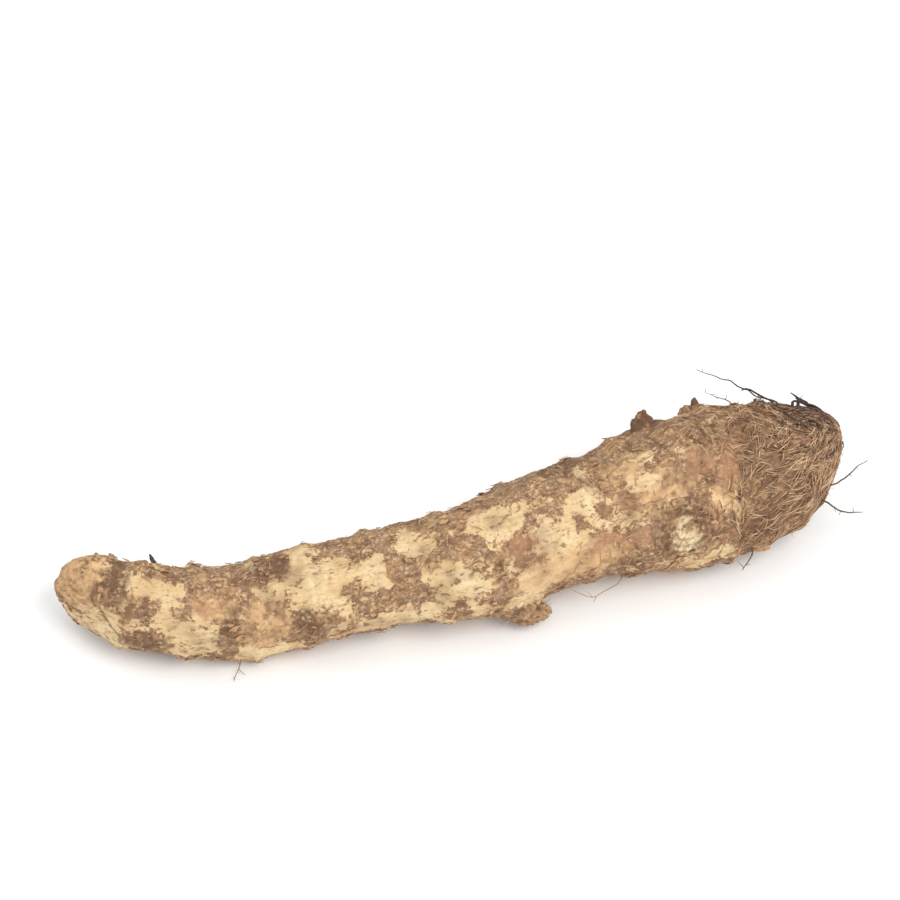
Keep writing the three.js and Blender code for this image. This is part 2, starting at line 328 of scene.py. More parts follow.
# The spine measured once: its share, its x, the thickness and the way over the skin.
MEASURE = np.linspace(0, 1, 4001)
RUN = smooth_line(LINE, MEASURE)
PROFILE = RUN[:, 3] * cap_share(RUN[:, 0])
TRAVEL = np.concatenate([[0], np.cumsum(np.hypot(np.diff(RUN[:, 0]), np.diff(PROFILE)))])


def share_at(x):
    """The share of the spine at x."""
    return np.interp(x, RUN[:, 0], MEASURE)


def metres(places):
    """Places in millimetres along the root as metres in the solid's frame."""
    return (np.asarray(places) - MIDDLE) * MM


# Patterns

def mottle(places, size, octaves, start):
    """Even noise from about -1 to 1, whose lumps are size millimetres across."""
    shift = Vector((start, 1.7 * start, 0.6 * start))
    return np.array([noise.fractal(Vector(p) / size + shift, 1.0, 2.0, octaves) for p in places])


# Noise: its height, the size of its lumps in millimetres, its octaves, where it starts,
# and a scale along and across the root, which draws it out when it is less than 1.
Grit = namedtuple("Grit", "height size octaves start along across", defaults=(1, 1))


def rough(grain, *grits):
    """The sum of some kinds of noise at each place."""
    total = 0
    for grit in grits:
        scaled = grain * (grit.along, grit.across, grit.across)
        total = total + grit.height * mottle(scaled, grit.size, grit.octaves, grit.start)
    return total


# A cloud of a tint: noise, and the values of it between which the tint comes up.
Cloud = namedtuple("Cloud", "size octaves start low high")


def clouded(grain, cloud):
    """How much a cloud of tint covers each place, from 0 to 1."""
    return steps(mottle(grain, cloud.size, cloud.octaves, cloud.start), cloud.low, cloud.high)


def straightened(x, angle, radius):
    """Places on the root as if it were drawn out straight, so that patterns follow it."""
    return np.column_stack([x, radius * np.cos(angle), radius * np.sin(angle)])


FAR_OUTSIDE = -40.0  # millimetres, past what any pattern reads


def inside(patches, x, angle, radius):
    """How far inside the nearest patch each place is, in millimetres: negative outside."""
    depth = np.full_like(x, FAR_OUTSIDE)
    for patch in patches:
        turned = around(angle, patch.angle) * radius
        share = np.hypot((x - patch.x) / patch.long, turned / patch.wide)
        depth = np.maximum(depth, (1 - share) * min(patch.long, patch.wide))
    return depth


LISTED_SIDE = 35  # degrees round the root, the middle of the side whose patches are listed
LISTED_EDGE = (-0.35, 0.15)  # where it starts and is full, as cosines of the turn from there

# Chance patches of peeled flesh, most of them on the other side.
CHANCE = Grit(9, 17, 3, 4.0, along=0.7)
CHANCE_LOSS = 0.5  # millimetres that they lose all round
LISTED_LOSS = 2.0  # and that they lose on the listed side
LISTED_CALM = 0.4  # the share of their noise that goes there

# What more they lose in some stretches, in millimetres, between one x and another: on the
# head, under the crown's fibres and at the tail.
STRETCH_LOSSES = [(3.0, 50, 76), (2.5, 96, 116), (1.5, -135, -146)]

TORN_EDGE = (Grit(5.0, 7, 3, 9.0), Grit(3.0, 2.2, 3, 2.0, along=0.7))
SCAR_BARK = 1.25  # how far bark holds round the scar, against its size
DEEPEST = 8  # millimetres inside flesh or bark, past which nothing changes


def bareness(x, angle, radius, grain):
    """How far inside peeled flesh each place is, in millimetres: negative on bark."""
    listed = steps(np.cos(angle - math.radians(LISTED_SIDE)), *LISTED_EDGE)
    loss = sum(most * steps(x, start, full) for most, start, full in STRETCH_LOSSES)
    chance = rough(grain, CHANCE) * (1 - LISTED_CALM * listed)
    chance = chance - loss - CHANCE_LOSS - LISTED_LOSS * listed
    depth = np.maximum(chance, inside(BARE, x, angle, radius))
    depth = np.minimum(depth, -inside(HELD, x, angle, radius))
    depth = np.minimum(depth, apart(x, angle, radius, SCAR) - SCAR_BARK * SCAR.long)
    return np.clip(depth + rough(grain, *TORN_EDGE), -DEEPEST, DEEPEST)


TINT_EDGE = (3.0, 4)  # how far a tint's edge wanders and the size of its lumps, in millimetres


def cover(patches, x, angle, radius, grain, soft, start):
    """How much ragged patches tint each place, from 0 to 1."""
    edge = rough(grain, Grit(*TINT_EDGE, 3, start))
    return steps(inside(patches, x, angle, radius) + edge, -soft, soft)


# Making pieces

def place_vertices(mesh, places):
    """Moves each vertex to its place, in metres."""
    mesh.vertices.foreach_set("co", np.asarray(places, np.float32).ravel())


def vertex_rows(mesh, field="co"):
    """Each vertex's place, in metres, or its normal."""
    flat = np.empty(len(mesh.vertices) * 3, np.float32)
    mesh.vertices.foreach_get(field, flat)
    return flat.reshape(-1, 3).astype(float)


def raise_skin(mesh, height):
    """Moves each vertex out along its normal by millimetres, but not under the floor."""
    places = vertex_rows(mesh) + vertex_rows(mesh, "normal") * height[:, None] * MM
    places[:, 2] = np.maximum(places[:, 2], 0)
    place_vertices(mesh, places)


BARK_FIELDS = ("bare", "warm", "red", "dark", "fibre", "granular", "height")


def paint(mesh, grain, **fields):
    """Writes what the materials read at each vertex. A field that isn't given is 0."""
    for name, values in {**dict.fromkeys(BARK_FIELDS, 0), **fields}.items():
        layer = mesh.attributes.new(name, "FLOAT", "POINT")
        layer.data.foreach_set("value", np.full(len(mesh.vertices), values, np.float32))
    layer = mesh.attributes.new("grain", "FLOAT_VECTOR", "POINT")
    layer.data.foreach_set("vector", np.asarray(grain, np.float32).ravel())


def new_piece(name, mesh, material):
    """A finished piece of the root, riding on its only body."""
    mesh.materials.append(material_of(material))
    mesh.shade_smooth()
    piece = bpy.data.objects.new(name, mesh)
    bpy.context.scene.collection.objects.link(piece)
    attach(piece, "root")
    return piece


def mesh_from(bm, name):
    """A mesh of what a bmesh holds, which is freed."""
    mesh = bpy.data.meshes.new(name)
    bm.to_mesh(mesh)
    bm.free()
    return mesh


def strand_piece(name, strands):
    """Thin tapered strands: each is a list of places and one of half widths, both in
    millimetres, and a tone from 0, dark, to 1, pale."""
    curve = bpy.data.curves.new(name, "CURVE")
    curve.dimensions = "3D"
    curve.bevel_depth = MM
    curve.bevel_resolution = 0
    for places, halves, _ in strands:
        spline = curve.splines.new("POLY")
        spline.points.add(len(places) - 1)
        raised = np.array(places)
        raised[:, 2] = np.maximum(raised[:, 2], halves)
        weighted = np.column_stack([metres(raised), np.ones(len(places))])
        spline.points.foreach_set("co", weighted.ravel())
        spline.points.foreach_set("radius", halves)
    holder = bpy.data.objects.new(name, curve)
    mesh = bpy.data.meshes.new_from_object(holder)
    mesh.name = name
    bpy.data.objects.remove(holder)
    bpy.data.curves.remove(curve)

    points = [len(places) for places, _, _ in strands]
    sides = len(mesh.vertices) // sum(points)
    layer = mesh.attributes.new("tone", "FLOAT", "POINT")
    tones = np.repeat([tone for _, _, tone in strands], np.multiply(points, sides))
    layer.data.foreach_set("value", tones.astype(np.float32))
    new_piece(name, mesh, dry_plant_fibre)


# Materials

def add(tree, kind, inputs=None, give=None, **settings):
    """Adds a node and returns an output of it: the one named by give, or its first in use.
    Inputs go by the socket's identifier, with a value, a colour or the socket that feeds it."""
    new = tree.nodes.new("ShaderNode" + kind)
    for name, value in settings.items():
        setattr(new, name, value)
    for name, value in (inputs or {}).items():
        socket = next(s for s in new.inputs if s.identifier == name)
        if isinstance(value, bpy.types.NodeSocket):
            tree.links.new(value, socket)
        else:
            socket.default_value = (*value, 1) if socket.type == "RGBA" else value
    return next((s for s in new.outputs if s.enabled and give in (None, s.identifier)), None)


def specks(tree, place, size, low, high, start):
    """A mask of ragged specks of a size in millimetres, which comes up where their noise
    passes from low to high."""
    shifted = add(tree, "Mapping", {"Vector": place, "Location": (start, start, 0)})
    cloud = add(tree, "TexNoise", {"Vector": shifted, "Scale": 1 / (size * MM), "Detail": 4})
    return add(tree, "MapRange", {"Value": cloud, "From Min": low, "From Max": high})


def coated(tree, colour, coats):
    """A colour under coats of others, each with a mask, a strength and a colour. A strength
    may be a mask too."""
    for mask, strength, over in coats:
        share = add(tree, "Math", {"Value": mask, "Value_001": strength}, operation="MULTIPLY")
        mixed = {"Factor_Float": share, "A_Color": colour, "B_Color": over}
        colour = add(tree, "Mix", mixed, data_type="RGBA")
    return colour


def material_of(build):
    """The material that a function makes, made the first time that a piece asks for it."""
    made = bpy.data.materials.get(build.__name__)
    if made is None:
        made = bpy.data.materials.new(build.__name__)
        made.use_nodes = True
        made.node_tree.nodes.clear()
        shader = build(made.node_tree, bpy.context.scene.taro_look)
        add(made.node_tree, "OutputMaterial", {"Surface": shader})
    return made


def corky_taro_bark(tree, look):
    """Corky bark, peeled in patches off matt cream flesh: the bark scurfy, brown and rough, the
    flesh smoother with dark pinholes, and both darker in their hollows."""
    place = add(tree, "TexCoord", give="Object")
    grain = add(tree, "Attribute", attribute_name="grain", give="Vector")
    field = {name: add(tree, "Attribute", attribute_name=name, give="Fac") for name in BARK_FIELDS}

    # The bark's torn edge wanders by a millimetre or two more than the mesh can show.
    torn = {"Vector": place, "Scale": 1 / (1.3 * MM), "Detail": 4, "Roughness": 0.6}
    torn = {"Value": add(tree, "TexNoise", torn), "Value_001": 9, "Value_002": -4.5}
    torn = add(tree, "Math", torn, operation="MULTIPLY_ADD")
    edge = add(tree, "Math", {"Value": field["bare"], "Value_001": torn}, operation="ADD")
    peeled = add(tree, "MapRange", {"Value": edge, "From Min": -0.15, "From Max": 0.2})
    thin = add(tree, "MapRange", {"Value": edge, "From Min": -1.5, "From Max": -0.2})

    # Lines that run along the root, as in any stem. Real ones are about 0.3 mm apart, too
    # fine to show in the render, so they are drawn about 1 mm apart.
    lines = add(tree, "Mapping", {"Vector": grain, "Scale": (0.14, 0.9, 0.9)})
    lines = add(tree, "TexNoise", {"Vector": lines, "Scale": 1, "Detail": 4, "Roughness": 0.6})
    lined = add(tree, "MapRange", {"Value": lines, "From Min": 0.45, "From Max": 0.7})

    # The grain in metres, drawn out so that specks on it are longer along the root.
    stretched = add(tree, "Mapping", {"Vector": grain, "Scale": (0.55 * MM, MM, MM)})

    # Cracks and flake edges, along the contours of a cloud. Real ones are hairlines, too
    # fine to show, so they are drawn about 0.3 mm wide.
    cracks = {"Vector": place, "Scale": 1 / (3.2 * MM), "Detail": 4, "Roughness": 0.6}
    cracks = {"Value": add(tree, "TexNoise", cracks), "Value_001": 0.5, "Value_002": 0.022}
    cracks = add(tree, "Math", cracks, operation="COMPARE")

    # Pinholes where hairs left the flesh, about 0.7 mm wide and 3.4 mm apart.
    holes = add(tree, "TexVoronoi", {"Vector": place, "Scale": 1 / (3.4 * MM)})
    holes = add(tree, "MapRange", {"Value": holes, "From Min": 0.13, "From Max": 0.07})
    speckled = specks(tree, place, 8, 0.4, 0.56, 5)
    pinholed = specks(tree, place, 9, 0.45, 0.55, 7)
    flesh = coated(tree, look.flesh_light, [
        (specks(tree, place, 11, 0.35, 0.65, 0), 1, look.flesh_deep),
        (specks(tree, place, 1.8, 0.5, 0.7, 3), 0.7, look.flesh_stain),
        (lined, 0.35, look.flesh_stain),
        (specks(tree, stretched, 1.3, 0.55, 0.66, 4), speckled, look.bark_dark),
        (holes, pinholed, look.bark_dark),
    ])
    bark = coated(tree, look.bark_mid, [
        (specks(tree, place, 7, 0.5, 0.58, 12), 0.8, look.bark_grey),
        (specks(tree, place, 5.5, 0.45, 0.6, 1), 1, look.bark_dark),
        (specks(tree, place, 1.5, 0.52, 0.62, 5), 0.85, look.bark_speck),
        (specks(tree, stretched, 1.3, 0.54, 0.66, 8), 0.8, look.soil),
        (cracks, 0.6, look.soil),
        (thin, 0.4, look.thin_bark),
    ])
    fibrous = coated(tree, look.fibre_dark, [
        (lined, 1, look.fibre_pale),
        (specks(tree, place, 4, 0.45, 0.62, 6), 0.5, look.thin_bark),
    ])
    granules = coated(tree, look.granule, [
        (specks(tree, place, 5, 0.45, 0.6, 10), 0.6, look.flesh_stain),
        (specks(tree, place, 1.3, 0.54, 0.62, 9), 0.7, look.bark_dark),
    ])

    # Darker in the hollows and paler on the crests, by the relief in millimetres.
    hollow = add(tree, "MapRange", {"Value": field["height"], "From Min": 0.05, "From Max": -0.55})
    crest = add(tree, "MapRange", {"Value": field["height"], "From Min": 0.45, "From Max": 0.95})
    patchy = specks(tree, place, 2.2, 0.3, 0.62, 2)
    washed = specks(tree, place, 2.4, 0.28, 0.52, 14)
    colour = coated(tree, bark, [
        (peeled, 1, flesh),
        (field["warm"], washed, look.warm),
        (field["fibre"], 0.85, fibrous),
        (field["red"], 0.6, look.red),
        (field["granular"], 1, granules),
        # The dark field is soil, with painted shade beneath the dark bud and along the far top
        # edge.
        (field["dark"], patchy, look.soil),
        (hollow, 0.7, look.soil),
        (crest, 0.35, look.bark_speck),
    ])

    # Scurf. Real grains are about 0.2 mm, too fine to show, so they are drawn at 0.7 mm.
    fine = add(tree, "TexNoise", {"Vector": place, "Scale": 1 / (0.7 * MM), "Detail": 4})
    strength = add(tree, "MapRange", {"Value": peeled, "To Min": 0.75, "To Max": 0.25})
    scurfy = add(tree, "Bump", {"Strength": strength, "Distance": 0.35 * MM, "Height": fine})
    ridged = {"Strength": 0.4, "Distance": 0.3 * MM, "Height": lines, "Normal": scurfy}
    ridged = add(tree, "Bump", ridged)
    roughness = add(tree, "MapRange", {"Value": peeled, "To Min": 0.92, "To Max": 0.62})
    skin_look = {"Base Color": colour, "Roughness": roughness, "Normal": ridged}
    return add(tree, "BsdfPrincipled", {**skin_look, "Specular IOR Level": 0.3})


def dry_plant_fibre(tree, look):
    """Dry leaf-sheath fibre and rootlet: dull and stiff, each strand of its own tone."""
    tone = add(tree, "Attribute", attribute_name="tone", give="Fac")
    place = add(tree, "TexCoord", give="Object")
    cloud = add(tree, "TexNoise", {"Vector": place, "Scale": 1 / (3 * MM), "Detail": 3})
    shade = {"Value": cloud, "Value_001": 0.4, "Value_002": tone}
    shade = add(tree, "Math", shade, operation="MULTIPLY_ADD")
    brown = add(tree, "MapRange", {"Value": shade, "From Min": 0.2, "From Max": 0.6})
    pale = add(tree, "MapRange", {"Value": shade, "From Min": 0.65, "From Max": 1.15})
    coats = [(brown, 1, look.strand_brown), (pale, 1, look.strand_pale)]
    colour = coated(tree, look.strand_dark, coats)
    fibre_look = {"Base Color": colour, "Roughness": 0.7, "Specular IOR Level": 0.25}
    return add(tree, "BsdfPrincipled", fibre_look)


def studio_paper(tree, look):
    """Matt white studio paper, which takes only soft shadows."""
    paper_look = {"Base Color": look.paper, "Roughness": 0.95, "Specular IOR Level": 0.1}
    return add(tree, "BsdfPrincipled", paper_look)


# The skin's own detail

CROWDING = 0.15  # how much closer the rows stand at the two ends
SUNK = 0.5  # how far the flesh lies under the solid's skin
BARK_EDGE = (-0.1, 0.7)  # millimetres into the bark where it starts and is at its full thickness
TORN_LIP = (0.22, 0.5, 0.55)  # its raised edge: height, place outside the flesh and half width

# Dents all over, cork where the bark holds, and furrows along the root.
DENTS = (Grit(0.4, 9, 2, 1.0), Grit(0.1, 2.4, 2, 5.0))
CORK = (Grit(0.34, 2.4, 3, 3.0), Grit(0.2, 1.6, 2, 8.0, across=0.2))
CORK_EDGE = (-0.1, 0.9)
FURROWS = Grit(0.14, 1.5, 2, 2.0, along=0.14)

# The crown's coat of matted fibre: where it starts and covers all, in x, how its edge
# wanders, its ridges, their height, and the share of it that lies under the skin.
COAT = (92, 134)
COAT_EDGE = Grit(40, 12, 3, 6.0, along=0.5)
COAT_RIDGES = Grit(2, 2.2, 3, 7.0, along=0.16)
COAT_HEIGHT = 0.8
COAT_SUNK = 0.6

SCAR_FADE = (10, 15)  # where the scar's fine relief ends, from its middle
SCAR_RINGS = (0.35, 2.6)  # height and spacing
SCAR_SWAY = Grit(2, 5, 2, 4.0)  # in radians
SCAR_GRIT = Grit(0.55, 1.3, 2, 6.0)

# An old tear round the tail: its x at some degrees round the root, where it opens and
# closes in degrees, its depth and half width, and how it wanders.
TEAR = {12: -137, 45: -135, 75: -130, 112: -124}
TEAR_OPENS = (5, 25)
TEAR_CLOSES = (95, 118)
TEAR_DEPTH = 0.9
TEAR_HALF = 0.6
TEAR_WANDER = Grit(2, 5, 3, 3.0)

# The wrinkled end of the tail, by x and degrees, the height between its creases, how much
# deeper they are, and how wide they are in their noise.
TAIL_END = (-134, -124)
TAIL_UNDER = (35, 60)
CREASES = Grit(1, 2.4, 3, 1.0, along=0.35)
CREASE_TOP = 0.3
CREASE_DEPTH = 0.6
CREASE_HALF = 0.12

COLLAR = (2.4, 0.25, 1.2)  # most height, and height and width against the lump's

PIT_REACH = (-140, 120)  # the stretch of the root that has pits
PIT_DEPTH = 0.55
PIT_HALVES = (0.5, 1.0)
PIT_EDGE = (-0.5, 0.5)  # they fade out over the flesh's edge


def measured(share, angle):
    """x, radius and straightened places of points at shares of the spine."""
    centre, _, _, _, radius = section(share)
    x = centre[:, 0]
    grain = straightened(np.interp(x, RUN[:, 0], TRAVEL), angle, radius * cap_share(x))
    return x, radius, grain


def crown_cover(x, grain):
    """How much the crown's matted fibre covers the bark."""
    return steps(x + rough(grain, COAT_EDGE), *COAT)


def scar_height(from_scar, grain):
    """The scar's fine rings and grit."""
    height, spacing = SCAR_RINGS
    rings = height * np.cos(from_scar * TURN / spacing + rough(grain, SCAR_SWAY))
    return (1 - steps(from_scar, *SCAR_FADE)) * (rings + rough(grain, SCAR_GRIT))


def tail_height(x, degrees, grain):
    """The tail's old tear and its wrinkled end."""
    tear_x = np.interp(degrees, list(TEAR), list(TEAR.values()))
    open_share = steps(degrees, *TEAR_OPENS) * (1 - steps(degrees, *TEAR_CLOSES))
    tear = TEAR_DEPTH * open_share * bell(x - tear_x - rough(grain, TEAR_WANDER), TEAR_HALF)
    wrinkled = (1 - steps(x, *TAIL_END)) * steps(degrees, *TAIL_UNDER)
    creased = 1 - steps(np.abs(rough(grain, CREASES)), 0, CREASE_HALF)
    return wrinkled * (CREASE_TOP - CREASE_DEPTH * creased) - tear


def fine_height(x, angle, radius, grain, bare, fibre):
    """The height of the bark's and flesh's fine relief, without the bark's own thickness."""
    height = rough(grain, *DENTS) + steps(-bare, *CORK_EDGE) * rough(grain, *CORK)
    height += rough(grain, FURROWS)
    ridges = 1 - np.abs(rough(grain, COAT_RIDGES))
    height += fibre * COAT_HEIGHT * (ridges - COAT_SUNK)
    height += scar_height(apart(x, angle, radius, SCAR), grain)
    height += tail_height(x, np.degrees(angle), grain)
    return height


def collars(x, angle, radius):
    """The skin drawn up round the foot of each lump."""
    most, tall, wide = COLLAR
    height = np.zeros_like(x)
    for lump in LUMPS:
        distance = apart(x, angle, radius, lump)
        height += min(most, tall * lump.reach) * bell(distance, wide * lump.wide)
    return height


def pits(x, angle, radius, bare, count, draw):
    """Small holes where rootlets left the flesh."""
    depth = np.zeros_like(x)
    for _ in range(count):
        pit_x, degrees = draw.uniform(*PIT_REACH), draw.uniform(-180, 180)
        pit = Swelling(pit_x, degrees, PIT_DEPTH, draw.uniform(*PIT_HALVES))
        depth += pit.height * bell(apart(x, angle, radius, pit), pit.spread)
    return depth * steps(bare, *PIT_EDGE)


CROWN_SOIL = Cloud(6, 3, 8.0, -0.3, 0.3)
CROWN_SOILED = (118, 142)  # where it comes up, in x
CROWN_SOIL_SIDE = -40  # degrees round the root, the middle of the side that has it
CROWN_SOIL_EDGE = (-0.2, 0.8)  # where that side starts and is full, as cosines
SCAR_SOIL = Cloud(1.8, 3, 7.0, -0.35, 0.1)
SCAR_SOILED = (1.35, 2.4)  # strength and half width of the soil on its rim
SCAR_WASHED = (0.8, 4, 8)  # the share that is off its lower side, and where that begins
FAR_EDGE = (-0.1, 0.3)  # where the side without listed patches starts and is full
# Soil clouds on the far side. They reach up to the far top edge, and there their dark is painted
# shade too.
FAR_SOIL_AND_SHADE = Cloud(14, 3, 11.0, 0.08, 0.3)
FAR_WARM = Cloud(16, 3, 13.0, 0.05, 0.3)
WARMTH = 0.75
PALE_EDGE = Grit(2.4, 3, 3, 5.0)
PALE_SOFT = 0.6


def skin_tints(x, angle, radius, grain):
    """How strong the warm, red, dark and granular tints are at each place."""
    far = steps(-np.cos(angle - math.radians(LISTED_SIDE)), *FAR_EDGE)
    warm = cover(WARM, x, angle, radius, grain, soft=2.5, start=7.0)

    # Soil, with painted shade in the crevice beneath the dark bud and along the far top edge.
    soiled_and_shaded = cover(DARK, x, angle, radius, grain, soft=1.5, start=2.0)
    crown_top = steps(np.cos(angle - math.radians(CROWN_SOIL_SIDE)), *CROWN_SOIL_EDGE)
    crown_top *= steps(x, *CROWN_SOILED)
    soiled_and_shaded = np.maximum(soiled_and_shaded, crown_top * clouded(grain, CROWN_SOIL))
    # Far-side soil, which is also painted shade along the far top edge.
    soiled_and_shaded = np.maximum(soiled_and_shaded, far * clouded(grain, FAR_SOIL_AND_SHADE))

    strength, half = SCAR_SOILED
    rim = strength * bell(apart(x, angle, radius, SCAR) - SCAR.long, half)
    washed, start, full = SCAR_WASHED
    rim *= 1 - washed * steps(around(angle, SCAR.angle) * radius, start, full)

    pale = inside([PALE], x, angle, radius) + rough(grain, PALE_EDGE)
    return {
        "warm": WARMTH * np.maximum(warm, far * clouded(grain, FAR_WARM)),
        "red": cover(RED, x, angle, radius, grain, soft=0.6, start=4.0),
        "dark": np.maximum(soiled_and_shaded, rim * clouded(grain, SCAR_SOIL)),
        "granular": steps(pale, -PALE_SOFT, PALE_SOFT),
    }


class TARO_OT_skin(bpy.types.Operator):
    """Adds the root's skin, with its bark, peeled flesh, rings and scar"""

    bl_idname = "taro.skin"
    bl_label = "Root skin"

    def execute(self, context):
        sizes = context.scene.taro_sizes
        bm = bmesh.new()
        bmesh.ops.create_uvsphere(bm, u_segments=sizes.sides, v_segments=sizes.rows, radius=1)
        mesh = mesh_from(bm, "root_skin")
        ball = vertex_rows(mesh)
        row = np.arccos(np.clip(ball[:, 2], -1, 1)) / math.pi
        share = 1 - row + CROWDING / TURN * np.sin(TURN * row)
        angle = np.arctan2(ball[:, 1], ball[:, 0])
        place_vertices(mesh, metres(skin(share, angle)))
        mesh.update()

        x, radius, grain = measured(share, angle)
        bare = bareness(x, angle, radius, grain)
        fibre = crown_cover(x, grain)
        fine = fine_height(x, angle, radius, grain, bare, fibre)
        fine -= pits(x, angle, radius, bare, sizes.pits, random.Random(SEEDS["pits"]))
        lip_height, lip_place, lip_half = TORN_LIP
        bark = sizes.bark / MM * steps(-bare, *BARK_EDGE)
        bark += lip_height * bell(bare + lip_place, lip_half)
        raise_skin(mesh, fine + bark + collars(x, angle, radius) - SUNK)
        tints = skin_tints(x, angle, radius, grain)
        paint(mesh, grain, bare=bare, fibre=fibre, height=fine, **tints)
        skin_piece = new_piece("root_skin", mesh, corky_taro_bark)
        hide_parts("taro_root")
        return {"FINISHED"}


LUMP_LEVEL = 5  # how fine its ball is: 5,120 faces
LUMP_TEARS = (Grit(1.4, 3.2, 3, 0), Grit(1.0, 1.2, 2, 5.0))
LUMP_TORN = (0.4, 0.8)  # how torn it is at the foot, and how much more at the tip
LUMP_BARE = -3.0  # it is all bark, so far from bare flesh
LUMP_RED = Cloud(3, 2, 3.0, 0.1, 0.5)
REDNESS = 0.5


def lump_mesh(lump, index):
    """A tapered lump, rooted in the skin, crooked and torn."""
    bm = bmesh.new()
    bmesh.ops.create_icosphere(bm, subdivisions=LUMP_LEVEL, radius=1)
    mesh = mesh_from(bm, lump.name)
    ball = vertex_rows(mesh)
    share = np.array([share_at(lump.x)])
    angle = np.array([math.radians(lump.angle)])
    forward = section(share)[1][0]
    foot = skin(share, angle)[0]
    out = unit(skin(share, angle, LUMP_SINK)[0] - foot)
    lean = math.radians(lump.lean)
    rise = out * math.cos(lean) + forward * math.sin(lean)
    across = unit(np.cross(rise, forward))
    along = unit(np.cross(across, rise))

    height = (ball[:, 2] + 1) / 2
    crooked = 1 + LUMP_CROOK * np.sin(3 * np.arctan2(ball[:, 0], ball[:, 1]) + index)
    width = (LUMP_FOOT + (LUMP_TIP - LUMP_FOOT) * height) * crooked
    places = foot + np.outer(ball[:, 1] * lump.wide * width, across)
    places += np.outer(ball[:, 0] * lump.deep * width, along)
    places += np.outer(height * (lump.reach + LUMP_SINK) - LUMP_SINK, rise)
    place_vertices(mesh, metres(places))
    mesh.update()

    tears = [grit._replace(start=grit.start + index) for grit in LUMP_TEARS]
    torn = lump.ragged * rough(places, *tears) * (LUMP_TORN[0] + LUMP_TORN[1] * height)
    raise_skin(mesh, torn)
    grain = vertex_rows(mesh) / MM
    red = REDNESS * clouded(grain, LUMP_RED)
    tints = {"warm": lump.warm, "red": red, "dark": lump.soiled}
    paint(mesh, grain, bare=LUMP_BARE, height=torn, tone=0, **tints)
    return mesh


class TARO_OT_lumps(bpy.types.Operator):
    """Adds what stands out of the root: buds, the broken side shoot, husk and spur"""

    bl_idname = "taro.lumps"
    bl_label = "Buds and broken shoot"

    def execute(self, context):
        for index, lump in enumerate(LUMPS):
            made_of = dry_plant_fibre if lump.name == "spur" else corky_taro_bark
            new_piece(lump.name, lump_mesh(lump, index), made_of)
        return {"FINISHED"}


# Fibres, rootlets and scales

def on_skin(places):
    """Rows of x, angle in radians and height, as places in millimetres."""
    x, angle, over = np.asarray(places, float).T
    return skin(share_at(x), angle, over)


LEAST_RADIUS = 2.5  # that a strand turns round, so that none spins at the tip


def laid_path(draw, x, angle, heading, long, heights, wander):
    """A strand that lies on the skin from a place, and may pass over the crown's tip."""
    travel = np.interp(x, RUN[:, 0], TRAVEL)
    step = long / (len(heights) - 1)
    rows = []
    for height in heights:
        x = np.interp(travel, TRAVEL, RUN[:, 0])
        rows.append((x, angle, height))
        heading += draw.uniform(-wander, wander)
        radius = max(LEAST_RADIUS, np.interp(travel, TRAVEL, PROFILE))
        travel += step * math.cos(heading)
        angle += step * math.sin(heading) / radius
        if travel > TRAVEL[-1]:
            travel = 2 * TRAVEL[-1] - travel
            angle += math.pi
            heading = math.pi - heading
    return rows


BLUNT = 0.01  # millimetres, half the width of a strand's finest tip


def tapered(half, count, loss=1.0):
    """Half widths of a strand, which loses a share of its width, or comes to a point."""
    return [half * (1 - loss * (i / (count - 1)) ** 2) + BLUNT for i in range(count)]


# A kind of fibre: how many there are, between which x they start and how much they gather
# towards the higher, 1 being evenly, their lengths, half width, rise off the skin and
# tones, and the middle and spread, in degrees, of where they lie round the root. Real
# fibres are about 0.2 mm thick, too fine to show in the render, so most are drawn at
# about a pixel, which is 0.4 mm.
Fibres = namedtuple(
    "Fibres", "count low high gather shortest longest half rise dark pale facing spread"
)
CROWN_FIBRES = [
    Fibres(4100, 82, 150, 0.42, 2.5, 8, 0.17, 1.1, 0.4, 1.05, 0, 120),
    Fibres(2300, 78, 149, 0.42, 3, 9, 0.24, 0.9, 0.1, 0.5, 0, 120),
    Fibres(420, 122, 149, 0.7, 4, 10, 0.34, 2.1, -0.15, 0.4, -35, 38),
]
STRAY_FIBRES = [
    Fibres(800, 40, 125, 1, 3, 8, 0.14, 0.3, 0.3, 0.85, 0, 120),
    Fibres(320, -140, 60, 1, 3, 8, 0.15, 0.5, 0.4, 1.0, 0, 120),
    Fibres(60, 5, 19, 1, 3, 7, 0.18, 3.6, 0.3, 0.9, 129, 7),
]
WHOLE = 100  # per cent

# Which way fibres lie, in radians from the crown's tip. Neighbours turn together, by noise
# of this strength and size in millimetres, and each turns by itself too. All turn towards
# one line along the root, by this much, and some lie the other way round.
SWEEP = (2.2, 7)
OWN_TURN = 0.45
WHORL = 0.7
WHORL_LINE = 25  # degrees
REVERSED = 0.2  # a share of them

GAP = (0.25, 6.3)  # no fibre starts where noise of this size in millimetres passes this value
NOISE_RADIUS = 25  # of the tube that both noises are read on
SINK = 0.2  # how deep a fibre is rooted
SHOULDER = 0.8  # the share of its rise that it has at its second point
LIFTS = (0.4, 1)  # how much of its kind's rise a fibre has
SPRUNG = 0.15  # the share whose ends spring up, by these millimetres
SPRINGS = (0.8, 2.5)
WANDER = 0.2  # radians that a fibre may turn at each of its points
GAUGES = (0.7, 1.3)  # its half width against its kind's


